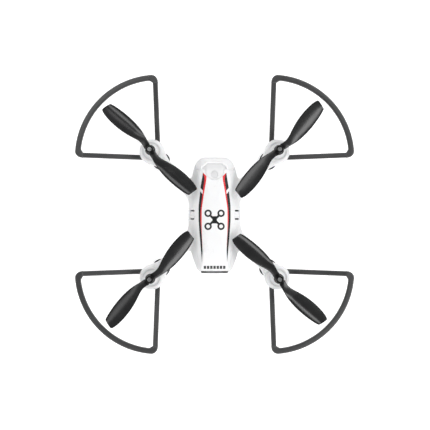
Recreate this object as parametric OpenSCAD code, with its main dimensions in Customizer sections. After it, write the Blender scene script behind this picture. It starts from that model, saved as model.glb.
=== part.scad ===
// Quadcopter drone: a white fuselage with four arms, black two-blade propellers in quarter-ring guards,
// geared coreless motors in the legs, a tilting camera under the nose and a battery that slides out at
// the tail.
// Frame: +Y is the nose, +X the right-hand side, +Z up. z = 0 is the ground under the feet.

/* [Layout] */
// Distance of each propeller axis from the centre, along X and along Y
rotor_xy = 71.7; // [71:0.1:73]
// Height of the seam between the upper and the lower shell
seam_z = 26; // [25.6:0.1:26.4]
// Thickness of the shell walls
wall = 1.4; // [1.2:0.1:1.5]

/* [Fuselage] */
// Half width of the fuselage at the waist
waist_half = 28.9; // [28.4:0.1:29.2]
// Height of the belly
belly_z = 13.5; // [13:0.1:13.8]
// Height of the crown of the canopy
crown_z = 46.5; // [46:0.1:47]
// Radius of the round hood behind the nose
hood_r = 11.3; // [11:0.1:11.6]
// Gap between neighbouring covers
cover_gap = 0.15; // [0.1:0.05:0.25]

/* [Arms and legs] */
// Radius of each motor pod
pod_r = 14.1; // [13.8:0.1:14.4]
// Half width of an arm
arm_half = 7; // [6.6:0.1:7.4]
// Underside of the arms and pods
arm_z = 21; // [20.8:0.1:21.2]
// Top of the arms
arm_top_z = 33; // [32:0.1:33.4]
// Radius of a leg's flange
leg_r = 10.5; // [10:0.1:10.8]
// Height of a foot pad
foot_h = 3; // [2.6:0.1:3.2]

/* [Drive] */
// Module of the reduction gears
gear_module = 0.5; // [0.5:0.01:0.51]
// Teeth on the propeller gear
gear_teeth = 44; // [44]
// Teeth on the motor pinion
pinion_teeth = 11; // [11]
// Play between the teeth, measured along the pitch circle
backlash = 0.16; // [0.12:0.02:0.24]
// Radius of a motor can
motor_r = 4.25; // [4.2:0.01:4.25]
// Length of a motor can
motor_h = 20; // [19.6:0.1:20]
// Radius of a propeller shaft
shaft_r = 1; // [0.9:0.05:1.1]

/* [Propellers] */
// Height of the blade plane
blade_z = 47; // [46.8:0.1:47.4]
// Thickness of a blade at its root
blade_root_t = 2.2; // [1.8:0.1:2.6]
// Thickness of a blade at its tip
blade_tip_t = 1.1; // [0.9:0.1:1.4]
// Height that a blade gains from its root to its tip
blade_cone = 2.4; // [1.6:0.1:2.6]

/* [Guards] */
// Centre of a guard's arc, along X and along Y
guard_c = 63.7; // [63.4:0.1:64]
// Outer radius of a guard's arc
guard_r = 92.3; // [92:0.1:92.6]
// Width of a guard's arc
guard_w = 6.2; // [5.8:0.1:6.6]
// Distance of a guard's straight rods from the centre line
rod_x = 66.2; // [66:0.1:66.6]
// Width of the straight rods
rod_w = 5.7; // [5.4:0.1:6]
// Thickness of a guard
guard_t = 3.4; // [3:0.1:3.6]
// Height of the arc's middle
guard_z = 41; // [40.6:0.1:41.2]

/* [Battery and camera] */
// Half width of the battery pack
pack_half = 14.4; // [14:0.1:14.5]
// Height of the camera's tilt axis
tilt_z = 15; // [14.8:0.1:15.2]
// Radius of the camera body
camera_r = 6.8; // [6.6:0.1:7]

/* [Hidden] */
$fn = 48;
CORNERS = ["fr", "fl", "rl", "rr"];

eps = 0.01;
far = 200;
slice_h = 0.1;
shoulder_z = 30;
ridge_z = 39;
deck_z = 41.5;
hood_y = 48.8;
nose_seam_y = 50.4;
button_y = 44.4;
button_r = 3.9;
button_top = 43.8;
tray_top = 35.4;
board_t = 1.2;
pack_z = [17.3, 34];
tail_y = -64.8;
latch_y = -0.5;
fillet_r = 10;
gear_dist = gear_module * (gear_teeth + pinion_teeth) / 2;
motor_z = seam_z - motor_h;
gear_z = 27.5;
gear_h = 2.5;
bracket_z = 17.4;
bracket_t = 3.6;
screw_r = 1;
hub_z = 39.5;
hub_top = 51;
tilt_y = 50;
trim_t = 0.3;
rod_y = [81, 85.5, 148];
board_y = [-30, 48];
board_x = 15;
pressure_angle = 25;
blade_n = 16;
section_n = 12;
root_pitch = 26;
tip_pitch = 8;
pod_well_r = 12.6;
guard_screw_r = 11.25;
guard_screw_a = [5, 85];
leg_screw_r = 7.4;
lens_r = 3.4;
pin_r = 1.5;
black = "#1b1c1e";
white = "#f2f3f4";

// ---- frames ----
// A corner's own frame has its propeller in the +X +Y quadrant; the four corners are a quarter turn apart.
module at_corner(i) rotate(90 * i) children();
module at_rotor() translate([rotor_xy, rotor_xy, 0]) children();
// From the propeller axis, +X runs inboard along the arm.
module along_arm() at_rotor() rotate(225) children();
module at_motor() along_arm() translate([gear_dist, 0, 0]) children();

function mirrored(half) = concat(half, [for (i = [len(half) - 1:-1:0]) [-half[i].x, half[i].y]]);
function inset(half, d) = [for (p = half) [max(p.x - d, 1), p.y - sign(p.y) * d]];

module slab(z0, z1) translate([0, 0, z0]) linear_extrude(z1 - z0) children();
module half_space(z0, z1) translate([-far / 2, -far / 2, z0]) cube([far, far, z1 - z0]);
module ring(ro, ri, h) difference() {
    cylinder(r = ro, h = h);
    translate([0, 0, -1]) cylinder(r = ri, h = h + 2);
}

// ---- fuselage form ----
// Right-hand half outlines from nose to tail, one for each level of the fuselage.
belly = [[11, 55], [17, 46], [20.5, 20], [20.5, -20], [19.5, -48], [17, -61.5]];
shoulder = [[12, 64.2], [16.5, 62.6], [19.9, 59.1], [22.1, 54.6], [24.2, 46.6], [27.4, 24],
    [waist_half, 4], [waist_half, -10], [27.6, -32], [24.4, -48], [22.1, -54.8], [19.6, -61.6],
    [17.6, tail_y + 0.9], [16.8, tail_y]];
ridge = [[9.5, 57.5], [14, 54], [17.5, 46], [20.5, 25], [21.5, 5], [21.2, -15], [19, -38], [16.2, -63.5]];
deck = [[8, 52], [12.9, 45.1], [15.3, 30.6], [17.8, 9.8], [17.8, -6.7], [16.9, -20], [15.2, -40], [13.8, -56]];
crown = [[7.5, 30], [10, 12], [10.5, -8], [9.5, -34]];

module level(half, z, d) slab(z - slice_h, z) polygon(mirrored(inset(half, d)));

module body_form(d = 0) hull() {
    level(belly, belly_z + slice_h + d, d);
    level(shoulder, seam_z, d);
    level(shoulder, shoulder_z, d);
    level(ridge, ridge_z - d / 2, d);
    level(deck, deck_z - d, d);
    level(crown, crown_z - d, d);
}

module arms_plan(half) for (i = [0:3]) at_corner(i) along_arm() {
    polygon([[0, pod_r], [0, -pod_r], [4.2, -13.4], [24, -half], [50, -half - 0.8], [101, -half - 0.8],
        [101, half + 0.8], [50, half + 0.8], [24, half], [4.2, 13.4]]);
}

module arm_zone() for (i = [0:3]) at_corner(i) along_arm() translate([0, -16]) square([100, 32]);

// Arms with the rounded webs that run into the fuselage.
module arm_webs() difference() {
    intersection() {
        arm_zone();
        offset(r = -fillet_r) offset(delta = fillet_r) union() {
            arms_plan(arm_half);
            polygon(mirrored(shoulder));
        }
    }
    polygon(mirrored(inset(shoulder, 4)));
}

module arm_channel(z0, z1) for (i = [0:3]) at_corner(i) along_arm()
    translate([gear_dist, -4.6, z0]) cube([56, 9.2, z1 - z0]);

module hood_plan(gap) {
    translate([-40, nose_seam_y + gap]) square([80, 30]);
    translate([0, hood_y]) circle(r = hood_r - gap);
}

module canopy_plan(gap) difference() {
    offset(delta = -gap) polygon(mirrored(concat([[6, 50]], [for (i = [1:7]) deck[i]])));
    translate([0, hood_y]) circle(r = hood_r + gap);
}

module latch_window() for (s = [-1, 1]) translate([s > 0 ? 20 : -30, latch_y - 5.6, shoulder_z + 0.6])
    cube([10, 11.2, 6.2]);

module tail_opening() translate([-15.9, tail_y - 8, pack_z[0] - 0.6]) cube([31.8, 18, 18.3]);

// ---- shells ----
module pod_upper() rotate_extrude() polygon([[0, seam_z], [pod_r, seam_z], [pod_r, 29], [12.2, 34], [9.6, 34.6],
    [9.2, 33.4], [6, 33.4], [5.2, 36.6], [0, 36.6]]);

module upper_shell() color(white) difference() {
    union() {
        intersection() {
            body_form();
            half_space(seam_z, far);
        }
        slab(seam_z, arm_top_z) arm_webs();
        for (i = [0:3]) at_corner(i) at_rotor() pod_upper();
    }
    intersection() {
        body_form(wall);
        half_space(seam_z - 1, far);
    }
    arm_channel(seam_z - 1, arm_top_z - 1.6);
    for (i = [0:3]) at_corner(i) {
        at_rotor() {
            translate([0, 0, seam_z - 1]) cylinder(r = pod_well_r, h = 6.6);
            translate([0, 0, seam_z]) cylinder(r = 2.4, h = far);
        }
        at_motor() translate([0, 0, seam_z - 1]) cylinder(r = 5, h = 6.6);
    }
    slab(seam_z + 4, far) hood_plan(0);
    slab(ridge_z, far) canopy_plan(0);
    latch_window();
    tail_opening();
}

module pod_lower() rotate_extrude()
    polygon([[0, arm_z], [13.4, arm_z], [pod_r, arm_z + 1.2], [pod_r, seam_z], [0, seam_z]]);

module lower_shell() color(white) difference() {
    union() {
        difference() {
            union() {
                intersection() {
                    body_form();
                    half_space(0, seam_z);
                }
                slab(arm_z, seam_z) arm_webs();
                for (i = [0:3]) at_corner(i) at_rotor() pod_lower();
            }
            intersection() {
                body_form(wall);
                half_space(0, seam_z + 1);
            }
            arm_channel(arm_z + wall, seam_z + 1);
            for (i = [0:3]) at_corner(i) at_rotor() translate([0, 0, arm_z + wall])
                cylinder(r = pod_well_r, h = far);
        }
        for (i = [0:3]) at_corner(i) at_rotor() {
            translate([0, 0, arm_z]) cylinder(r = 3.6, h = 4.4);
            for (a = guard_screw_a) rotate(a) translate([guard_screw_r, 0, arm_z]) cylinder(r = 2, h = 4.2);
        }
        camera_cradle(9.1 + wall, 12.5);
    }
    for (i = [0:3]) at_corner(i) {
        at_rotor() {
            translate([0, 0, -1]) cylinder(r = 2.4, h = far);
            for (a = guard_screw_a) rotate(a) translate([guard_screw_r, 0, -1])
                cylinder(r = screw_r + 0.05, h = far);
            rotate(45) translate([11, -4.2, arm_z + wall - 0.1]) cube([5.2, 8.4, 3.5]);
        }
        at_motor() {
            translate([0, 0, -1]) cylinder(r = motor_r + 0.1, h = far);
            translate([3.4, -1.7, -1]) cube([2.8, 3.4, far]);
            for (a = [-90, 90]) rotate(a) translate([leg_screw_r, 0, -1])
                cylinder(r = screw_r + 0.05, h = far);
        }
    }
    camera_cradle(9.1, 11.5);
    translate([-6.3, tilt_y, -1]) cube([12.6, 20, 26]);
    tail_opening();
}

// Half-round recess under the nose, cut off at the seam.
module camera_cradle(r, half) intersection() {
    translate([-half, tilt_y, tilt_z]) rotate([0, 90, 0]) cylinder(r = r, h = 2 * half);
    translate([-far / 2, 40, belly_z]) cube([far, 18.5, seam_z - belly_z]);
}

module skin() difference() {
    body_form();
    body_form(wall);
}

module nose_cap() color(white) difference() {
    intersection() {
        skin();
        slab(seam_z + 4, far) hood_plan(cover_gap);
    }
    translate([0, button_y, 0]) cylinder(r = button_r + 0.3, h = far);
}

module canopy_panel() color(white) intersection() {
    skin();
    slab(ridge_z, far) canopy_plan(cover_gap);
}

// ---- printed trim on the canopy ----
stripe_outer = [[12.9, 45.1], [15.3, 30.6], [17.8, 9.8], [17.8, -6.7], [16.9, -20], [15.2, -40], [14.4, -50]];
stripe_mid = [[13.9, -50], [13.4, -39.7], [14.3, -24], [15.7, -6.7], [15.6, 4], [12.8, 28], [11.2, 38.5],
    [11.6, 45.1]];
stripe_inner = [[8.9, 42.2], [9.1, 38.5], [11.2, 27], [14.4, 6], [14.4, -8], [14, -24], [13.4, -34]];

module on_canopy() intersection() {
    difference() {
        translate([0, 0, trim_t]) body_form();
        body_form();
        translate([0, hood_y, 0]) cylinder(r = hood_r + cover_gap, h = far);
    }
    slab(deck_z - 3, far) children();
}

module both_sides() for (s = [0, 1]) mirror([s, 0, 0]) children();

module stripes_black() color(black) on_canopy() both_sides() difference() {
    polygon(concat(stripe_outer, stripe_mid));
    polygon([[12, 25.5], [16.5, 30.4], [16.5, 26.3], [12, 20.9]]);
}

module stripes_red() color("#e8323a") on_canopy() both_sides()
    polygon(concat(stripe_inner, [for (i = [1:len(stripe_mid) - 1]) stripe_mid[i]]));

// A plain pictogram: four rotor rings around a small body, and a row of dashes at the tail.
module canopy_icon() color(black) on_canopy() {
    for (x = [-1, 1], y = [-1, 1]) translate([x * 7.2, y * 7.2 - 6]) difference() {
        circle(r = 4.1);
        circle(r = 2.1);
    }
    for (a = [45, -45]) translate([0, -6]) rotate(a) square([16, 2.4], center = true);
    translate([0, -6]) square([5, 8], center = true);
    for (k = [-3:3]) translate([k * 3.6, -58.8]) square([2.6, 2.8], center = true);
}

// ---- guards ----
// Points along an arc, from step k0 to step k1 of n.
function arc(cx, cy, r, a0, a1, n, k0, k1) = [for (k = [k0:k1]) let(a = a0 + (a1 - a0) * k / n)
    [cx + r * cos(a), cy + r * sin(a)]];

// Quarter sector about the guard's centre with its two far corners rounded.
module sector(r, edge, rc) {
    fx = edge + rc;
    fy = guard_c + sqrt(pow(r - rc, 2) - pow(fx - guard_c, 2));
    a = atan2(fy - guard_c, fx - guard_c);
    polygon(concat([[edge, edge]], arc(fx, fy, rc, 180, a, 6, 0, 6),
        arc(guard_c, guard_c, r, a, 90 - a, 48, 1, 47), arc(fy, fx, rc, 90 - a, -90, 6, 0, 6)));
}

// A straight rod with its flat foot, drawn as a side view and given the rod's width.
module guard_rod() translate([rod_x - rod_w / 2 + eps, 0, 0]) rotate([90, 0, 90])
    linear_extrude(rod_w - 2 * eps) polygon([[rod_y[0], bracket_z], [rod_y[1] + 0.6, bracket_z],
        [rod_y[2], guard_z - guard_t / 2 + eps], [rod_y[2], guard_z + guard_t / 2 - eps],
        [rod_y[1], bracket_z + bracket_t - eps], [rod_y[0], bracket_z + bracket_t - eps]]);

module guard(i) color(black) at_corner(i) difference() {
    union() {
        slab(guard_z - guard_t / 2, guard_z + guard_t / 2) difference() {
            sector(guard_r, rod_x - rod_w / 2, 7.8);
            sector(guard_r - guard_w, rod_x + rod_w / 2, 5.5);
            square([rod_x + rod_w / 2 + 1, rod_y[2] - 1]);
            square([rod_y[2] - 1, rod_x + rod_w / 2 + 1]);
        }
        guard_rod();
        mirror([1, -1, 0]) guard_rod();
        at_rotor() translate([0, 0, bracket_z]) rotate(-24) rotate_extrude(angle = 138)
            translate([9, 0]) square([4.6, bracket_t]);
    }
    at_rotor() for (a = guard_screw_a) rotate(a) translate([guard_screw_r, 0, 0])
        cylinder(r = screw_r + 0.05, h = far);
    at_rotor() translate([0, 0, arm_z]) cylinder(r = pod_r + 0.1, h = 6);
}

module screw(head_r, head_h, length) {
    translate([0, 0, -head_h]) difference() {
        cylinder(r = head_r, h = head_h);
        translate([-head_r * 0.6, -0.25, -1]) cube([head_r * 1.2, 0.5, 1.5]);
        translate([-0.25, -head_r * 0.6, -1]) cube([0.5, head_r * 1.2, 1.5]);
    }
    translate([0, 0, -eps]) cylinder(r = screw_r, h = length);
}

module guard_screws() color("silver") for (i = [0:3]) at_corner(i) at_rotor()
    for (a = guard_screw_a) rotate(a) translate([guard_screw_r, 0, bracket_z]) screw(1.9, 1, 7.6);

// ---- legs and motors ----
module legs() color(black) for (i = [0:3]) at_corner(i) at_motor() difference() {
    rotate_extrude() polygon([[0, foot_h], [6.4, foot_h], [6.6, 7], [8, 13], [leg_r, 18.4], [leg_r, arm_z],
        [motor_r + 0.06, arm_z], [motor_r + 0.06, motor_z], [0, motor_z]]);
    translate([3.4, -1.6, motor_z]) cube([2.7, 3.2, far]);
    for (a = [-90, 90]) rotate(a) translate([leg_screw_r, 0, 0]) {
        cylinder(r = screw_r + 0.05, h = far);
        cylinder(r = 2, h = 17);
    }
}

module shell_screws() color("silver") for (i = [0:3]) at_corner(i) at_motor() for (a = [-90, 90])
    rotate(a) translate([leg_screw_r, 0, 17]) screw(1.8, 1, 8.4);

module foot_pads() color("#2b2c2e") for (i = [0:3]) at_corner(i) at_motor()
    rotate_extrude() polygon([[0, 0], [5.6, 0], [6.4, 0.8], [6.4, foot_h], [0, foot_h]]);

module motors() color("silver") for (i = [0:3]) at_corner(i) at_motor() translate([0, 0, motor_z])
    difference() {
        rotate_extrude() polygon([[0, 0], [motor_r - 0.3, 0], [motor_r, 0.4], [motor_r, motor_h - 0.4],
            [motor_r - 0.4, motor_h], [0, motor_h]]);
        translate([0, 0, motor_h - 4]) cylinder(r = 0.56, h = 5);
    }

module shaft_bushings() color("#c9a24a") for (i = [0:3]) at_corner(i) at_rotor() for (z = [arm_z + 0.5, 33.1])
    translate([0, 0, z]) ring(2.4, shaft_r + 0.05, 3.4);

module led_boards() color("#2f6f46") for (i = [0:3]) at_corner(i) at_rotor() rotate(45) {
    translate([10.6, -2.8, arm_z + wall]) cube([0.8, 5.6, 3.6]);
    translate([11.4, -1.4, arm_z + wall + 0.6]) cube([0.7, 2.8, 2]);
}

module led_lens() at_rotor() translate([0, 0, arm_z + wall + 0.05]) rotate(45 - 16.5)
    rotate_extrude(angle = 33) translate([12.5, 0]) square([pod_r - 12.5, 3.3]);
module led_lenses_front() color("#dfe9f2") for (i = [0, 1]) at_corner(i) led_lens();
module led_lenses_rear() color("#c8202a") for (i = [2, 3]) at_corner(i) led_lens();

// ---- electronics ----
module main_board() color("#1f5b3a") difference() {
    translate([-board_x, board_y[0], tray_top]) cube([2 * board_x, board_y[1] - board_y[0], board_t]);
    for (x = [-1, 1], y = [-26, 42]) translate([x * 12.4, y, 0]) cylinder(r = 1.1, h = far);
}

module chip(x, y, w, d, h) translate([x - w / 2, y - d / 2, tray_top + board_t]) cube([w, d, h]);

module board_chips() color("#2a2a2c") {
    chip(-3, 14, 10, 10, 1.2);
    chip(7, 2, 5, 5, 1);
    chip(-6, -4, 4, 4, 1);
    chip(5, 20, 4, 6, 1.4);
    for (x = [-1, 1], y = [-14, 20]) chip(x * 12, y, 3, 3.4, 1.1);
}

module board_connectors() color("ivory") {
    for (x = [-1, 1], y = [-22, 26]) chip(x * 12.4, y + 2, 4, 6, 3);
    chip(0, 34, 9, 4, 2.4);
}

module power_switch() color("#3a3a3d") translate([0, button_y, tray_top + board_t]) {
    translate([-3, -3, 0]) cube([6, 6, 2.2]);
    cylinder(r = 1.6, h = 2.4);
}

module wire_run(r) {
    translate([5.1, 0, motor_z + 1]) cylinder(r = r, h = 23.5);
    translate([5.1, 0, motor_z + 24.5]) sphere(r = r);
    translate([5.1, 0, motor_z + 24.5]) rotate([0, 90, 0]) cylinder(r = r, h = 50);
    translate([55.1, 0, motor_z + 24.5]) {
        sphere(r = r);
        rotate([0, 57, 0]) cylinder(r = r, h = 11.6);
    }
}
module motor_wires() color("#b03030") for (i = [0:3]) at_corner(i) at_motor() for (y = [-0.7, 0.7])
    translate([0, y, 0]) wire_run(0.5, $fn = 16);

module antenna_wire() color("#222222") translate([-8, -30, tray_top + board_t + 0.5]) rotate([90, 0, 0])
    cylinder(r = 0.5, h = 22, $fn = 16);

module battery_tray() color("#3b3c3f") difference() {
    translate([-16, -50, belly_z + wall + 0.6]) cube([32, 52.5, tray_top - belly_z - wall - 0.6]);
    translate([-pack_half - 0.3, -51, pack_z[0] - 0.3]) cube([2 * pack_half + 0.6, 52, 17.3]);
}

module battery_contacts() color("goldenrod") for (x = [-6, -2, 2, 6]) translate([x - 0.8, 0.3, 22])
    cube([1.6, 0.7, 6]);

// ---- battery ----
module battery_pack() color("#4a4d52") translate([-pack_half, -59, pack_z[0]])
    cube([2 * pack_half, 58.6, pack_z[1] - pack_z[0]]);

module battery_end_cap() color(black) difference() {
    translate([-15.6, -66.8, pack_z[0] - 0.3]) cube([31.2, 7.8, 17.7]);
    translate([-8, -67.6, pack_z[0] + 5]) cube([16, 2.2, 7]);
}

module battery_terminals() color("goldenrod") for (x = [-6, -2, 2, 6]) translate([x - 0.8, -0.4, 22])
    cube([1.6, 0.5, 6]);

// ---- camera ----
module camera_bracket() color("#2a2b2d") {
    for (s = [-1, 1]) translate([s * 9.5 - (s < 0 ? 1.9 : 0), 0, 0]) difference() {
        intersection() {
            translate([0, tilt_y, tilt_z]) rotate([0, 90, 0]) cylinder(r = 9, h = 1.9);
            translate([-far / 2, 40, belly_z]) cube([far, 18.4, far]);
        }
        translate([-1, tilt_y, tilt_z]) rotate([0, 90, 0]) cylinder(r = 1.56, h = 4);
    }
    intersection() {
        translate([-9.5, tilt_y, tilt_z]) rotate([0, 90, 0]) ring(9, camera_r + 0.7, 19);
        translate([-far / 2, 40, tilt_z + 2]) cube([far, 13.6, far]);
    }
}

module camera_housing() color("#232426") difference() {
    union() {
        translate([-9.1, tilt_y, tilt_z]) rotate([0, 90, 0]) cylinder(r = camera_r, h = 18.2);
        translate([0, tilt_y, tilt_z]) rotate([-90, 0, 0]) cylinder(r = 4.6, h = 9);
    }
    translate([-20, tilt_y, tilt_z]) rotate([0, 90, 0]) cylinder(r = pin_r, h = 40);
    translate([0, tilt_y + 5, tilt_z]) rotate([-90, 0, 0]) cylinder(r = lens_r, h = 8);
}

module camera_pins() color("silver") for (s = [-1, 1]) translate([s > 0 ? 4 : -11.4, tilt_y, tilt_z])
    rotate([0, 90, 0]) cylinder(r = pin_r, h = 7.4);

module camera_lens_ring() color("#555a60") translate([0, tilt_y + 9, tilt_z]) rotate([-90, 0, 0])
    ring(5.2, lens_r, 1.8);

module camera_lens_glass() color("#26324a") translate([0, tilt_y + 5, tilt_z]) rotate([-90, 0, 0])
    cylinder(r = lens_r, h = 5);

// ---- buttons ----
module power_button() color("#dcdee0") translate([0, button_y, 0]) {
    translate([0, 0, 41.2]) cylinder(r = button_r, h = button_top - 41.2);
    translate([0, 0, tray_top + board_t + 3.4]) cylinder(r = 1.5, h = 41.3 - tray_top - board_t - 3.4);
}

module latch_tab(s) color(white) intersection() {
    skin();
    translate([s > 0 ? 22.6 : -30, latch_y - 4.2, shoulder_z + 0.9]) cube([7.4, 8.4, 5.4]);
}
module latch_tab_left() latch_tab(-1);
module latch_tab_right() latch_tab(1);

// ---- rotors ----
function inv_deg(a) = tan(a) * 180 / PI - a;
// Half the angle that a tooth takes up at radius r.
function tooth_half(z, r) = let(rp = gear_module * z / 2, rb = rp * cos(pressure_angle))
    90 / z - backlash / 4 / rp * 180 / PI + inv_deg(pressure_angle) - inv_deg(r > rb ? acos(rb / r) : 0);
function flank(z) = let(rp = gear_module * z / 2, r0 = rp - 1.2 * gear_module, r1 = rp + gear_module)
    [for (k = [0:3]) r0 + (r1 - r0) * k / 3];

module gear_profile(z) polygon([for (i = [0:z - 1], side = [-1, 1], k = [0:3])
    let(r = flank(z)[side < 0 ? k : 3 - k], a = 360 * i / z + side * tooth_half(z, r))
    [r * cos(a), r * sin(a)]]);

// Blade edges as seen from above, from the root to the tip: quartic Bezier curves.
blade_low = [[5, -4.6], [17, -6.1], [24, -15.5], [66.4, -7.3], [66.4, -5]];
blade_high = [[5, 3.4], [23.6, -3.4], [16.3, 11.7], [68.2, 11.2], [68.2, 5]];
function bezier(p, t) = len(p) == 1 ? p[0] :
    bezier([for (i = [0:len(p) - 2]) p[i] * (1 - t) + p[i + 1] * t], t);

// One cross-section of a blade, an ellipse with a little camber, turned to its pitch about its middle.
function blade_section(t, turn) = let(
    a = bezier(blade_low, t), b = bezier(blade_high, t), end = t > 0.97 ? 0.45 : 1,
    mid = (a + b) / 2, half = norm(b - a) / 2 * (t > 0.97 ? 0.82 : 1), dir = (b - a) / norm(b - a),
    thick = (blade_root_t + (blade_tip_t - blade_root_t) * t) / 2 * end,
    pitch = turn * (root_pitch + (tip_pitch - root_pitch) * pow(t, 0.6)))
    [for (k = [0:section_n - 1]) let(u = half * cos(360 * k / section_n),
        w = thick * sin(360 * k / section_n) + 0.05 * half * (1 - pow(u / half, 2)),
        across = u * cos(pitch) - w * sin(pitch))
        [mid.x + dir.x * across, mid.y + dir.y * across, u * sin(pitch) + w * cos(pitch) + blade_cone * t]];

module blade(turn) {
    sections = [for (k = [0:blade_n]) blade_section(k / blade_n, turn)];
    root = [for (p = sections[0]) [1.6, p.y * 0.6, p.z * 0.6]];
    points = concat(root, [for (s = sections) each s]);
    sides = [for (i = [0:blade_n], k = [0:section_n - 1]) let(a = i * section_n + k,
        b = i * section_n + (k + 1) % section_n)
        each [[b + section_n, b, a], [a + section_n, b + section_n, a]]];
    last = (blade_n + 1) * section_n;
    root_cap = [for (k = [0:section_n - 1]) k];
    tip_cap = [for (k = [section_n - 1:-1:0]) last + k];
    polyhedron(points, concat(sides, [root_cap, tip_cap]));
}

// Propellers on one diagonal turn one way and those on the other diagonal turn the other way.
function rest_angle(i) = i % 2 == 0 ? 47 : 45.2;
function turn(i) = i % 2 == 0 ? 1 : -1;

module propeller(i) color(black) at_corner(i) at_rotor() rotate(rest_angle(i)) difference() {
    union() {
        rotate_extrude() polygon([[0, hub_z], [5.2, hub_z], [5.6, hub_z + 0.5], [5.6, 43.6], [4.6, 45],
            [4, hub_top - 0.4], [3.6, hub_top], [0, hub_top]]);
        for (a = [0, 180]) rotate(a) translate([0, 0, blade_z]) blade(turn(i));
    }
    translate([0, 0, -1]) cylinder(r = shaft_r, h = far);
    translate([0, 0, hub_top - 1.6]) cylinder(r = 2.5, h = 3);
}

module rotor_screw(i) color("silver") at_corner(i) at_rotor() difference() {
    union() {
        translate([0, 0, hub_top - 1.6]) cylinder(r = 2.3, h = 1.2);
        translate([0, 0, hub_top - 3.4]) cylinder(r = shaft_r - 0.1, h = 2);
    }
    for (a = [0, 90]) rotate(a) translate([-1.4, -0.25, hub_top - 0.9]) cube([2.8, 0.5, 1]);
}

module rotor_shaft(i) color("silver") at_corner(i) at_rotor()
    translate([0, 0, arm_z + 0.6]) cylinder(r = shaft_r, h = hub_top - 3.5 - arm_z - 0.6);

module rotor_gear(i) color("ivory") at_corner(i) at_rotor() rotate(225) difference() {
    union() {
        slab(gear_z, gear_z + gear_h) difference() {
            gear_profile(gear_teeth);
            for (k = [0:4]) rotate(72 * k) translate([6.4, 0]) circle(r = 2);
        }
        translate([0, 0, gear_z - 1.5]) cylinder(r = 2.6, h = gear_h + 2.5);
    }
    cylinder(r = shaft_r, h = far);
}

module pinion(i) color("#c9a24a") at_corner(i) at_motor() {
    // With an odd number of teeth, a gap faces the propeller gear's tooth.
    slab(gear_z - 0.5, gear_z + gear_h + 0.5) gear_profile(pinion_teeth);
    translate([0, 0, seam_z - 3.6]) cylinder(r = 0.5, h = 8.4);
}

upper_shell();
lower_shell();
nose_cap();
canopy_panel();
stripes_black();
stripes_red();
canopy_icon();
guard_screws();
shell_screws();
legs();
foot_pads();
motors();
shaft_bushings();
led_boards();
led_lenses_front();
led_lenses_rear();
main_board();
board_chips();
board_connectors();
power_switch();
motor_wires();
battery_tray();
battery_contacts();
camera_bracket();
antenna_wire();
camera_housing();
camera_lens_ring();
camera_lens_glass();
camera_pins();
battery_pack();
battery_end_cap();
battery_terminals();
power_button();
latch_tab_left();
latch_tab_right();
for (i = [0:3]) {
    guard(i);
    propeller(i);
    rotor_screw(i);
    rotor_shaft(i);
    rotor_gear(i);
    pinion(i);
}
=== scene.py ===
"""Looks of the quadcopter drone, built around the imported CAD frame. Lengths in this file are millimetres."""
from functools import reduce
from math import acos, cos, pi, radians, sin, sqrt, tan

import bmesh
import bpy
import numpy as np
from mathutils import Matrix, Vector


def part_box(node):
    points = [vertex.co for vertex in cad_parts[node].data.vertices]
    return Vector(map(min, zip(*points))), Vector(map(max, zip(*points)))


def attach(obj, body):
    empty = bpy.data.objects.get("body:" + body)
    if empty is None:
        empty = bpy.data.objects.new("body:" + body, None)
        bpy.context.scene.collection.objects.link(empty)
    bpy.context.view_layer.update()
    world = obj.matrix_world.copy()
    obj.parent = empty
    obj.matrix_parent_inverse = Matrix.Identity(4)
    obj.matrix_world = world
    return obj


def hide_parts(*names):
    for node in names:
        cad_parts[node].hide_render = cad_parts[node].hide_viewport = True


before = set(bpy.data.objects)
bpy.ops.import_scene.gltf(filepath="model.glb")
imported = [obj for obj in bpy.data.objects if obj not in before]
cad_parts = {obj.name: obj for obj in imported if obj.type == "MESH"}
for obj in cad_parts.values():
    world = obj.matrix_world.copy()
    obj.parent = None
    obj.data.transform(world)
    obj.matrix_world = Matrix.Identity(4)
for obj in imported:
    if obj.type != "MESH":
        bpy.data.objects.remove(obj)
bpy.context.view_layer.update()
MM = 0.001
CORNERS = ["fr", "fl", "rl", "rr"]

# ---- sizes shared with the CAD part
ROTOR = 71.7
SEAM = 26.0
WALL = 1.4
GEAR_DIST = 13.75
ARM_LOW, ARM_TOP = 21.0, 33.0
HOOD_Y, HOOD_R = 48.8, 11.3
NOSE_SEAM = 50.4
BUTTON_Y, BUTTON_R = 44.4, 3.9
LATCH_Y = -0.5
TILT_Y, TILT_Z = 50.0, 15.0
HUB_TOP, BLADE_Z, BLADE_CONE = 51.0, 47.0, 2.4
# Covers reach LAP over the shell's rim and stand PROUD of it. Each shell ends SEAM_GAP short of the seam.
LAP, PROUD, SEAM_GAP = 0.7, 0.05, 0.08

# ---- distance-field tools


def dist(a, b):
    """Length of the vector (a, b)."""
    return np.sqrt(a * a + b * b)


def every(*fields):
    """Sharp-edged intersection of fields."""
    return reduce(np.maximum, fields)


def smax(a, b, r):
    """Intersection of two fields with an edge rounded over about r."""
    k = np.maximum(r - abs(a - b), 0) / r
    return np.maximum(a, b) + k * k * r * 0.25


def smin(a, b, r):
    """Union of two fields with a fillet of about r."""
    return -smax(-a, -b, r)


def rmax(a, b, r):
    """Intersection of two fields whose corner is an arc of radius r."""
    reach = dist(np.maximum(a + r, 0), np.maximum(b + r, 0))
    return np.minimum(np.maximum(a, b), -r) + reach


def cut(a, b, r):
    """Field a with field b taken out of it."""
    return smax(a, -b, r)


def carve(d, *tools):
    """Field d with each (field, edge radius) taken out of it in turn."""
    for tool, r in tools:
        d = cut(d, tool, r)
    return d


def slab(v, low, high):
    return abs(v - (low + high) / 2) - (high - low) / 2


def block(x, y, z, x0, x1, y0, y1, z0, z1, r):
    """A box with rounded edges."""
    return rmax(rmax(slab(x, x0, x1), slab(y, y0, y1), r), slab(z, z0, z1), r)


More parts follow.
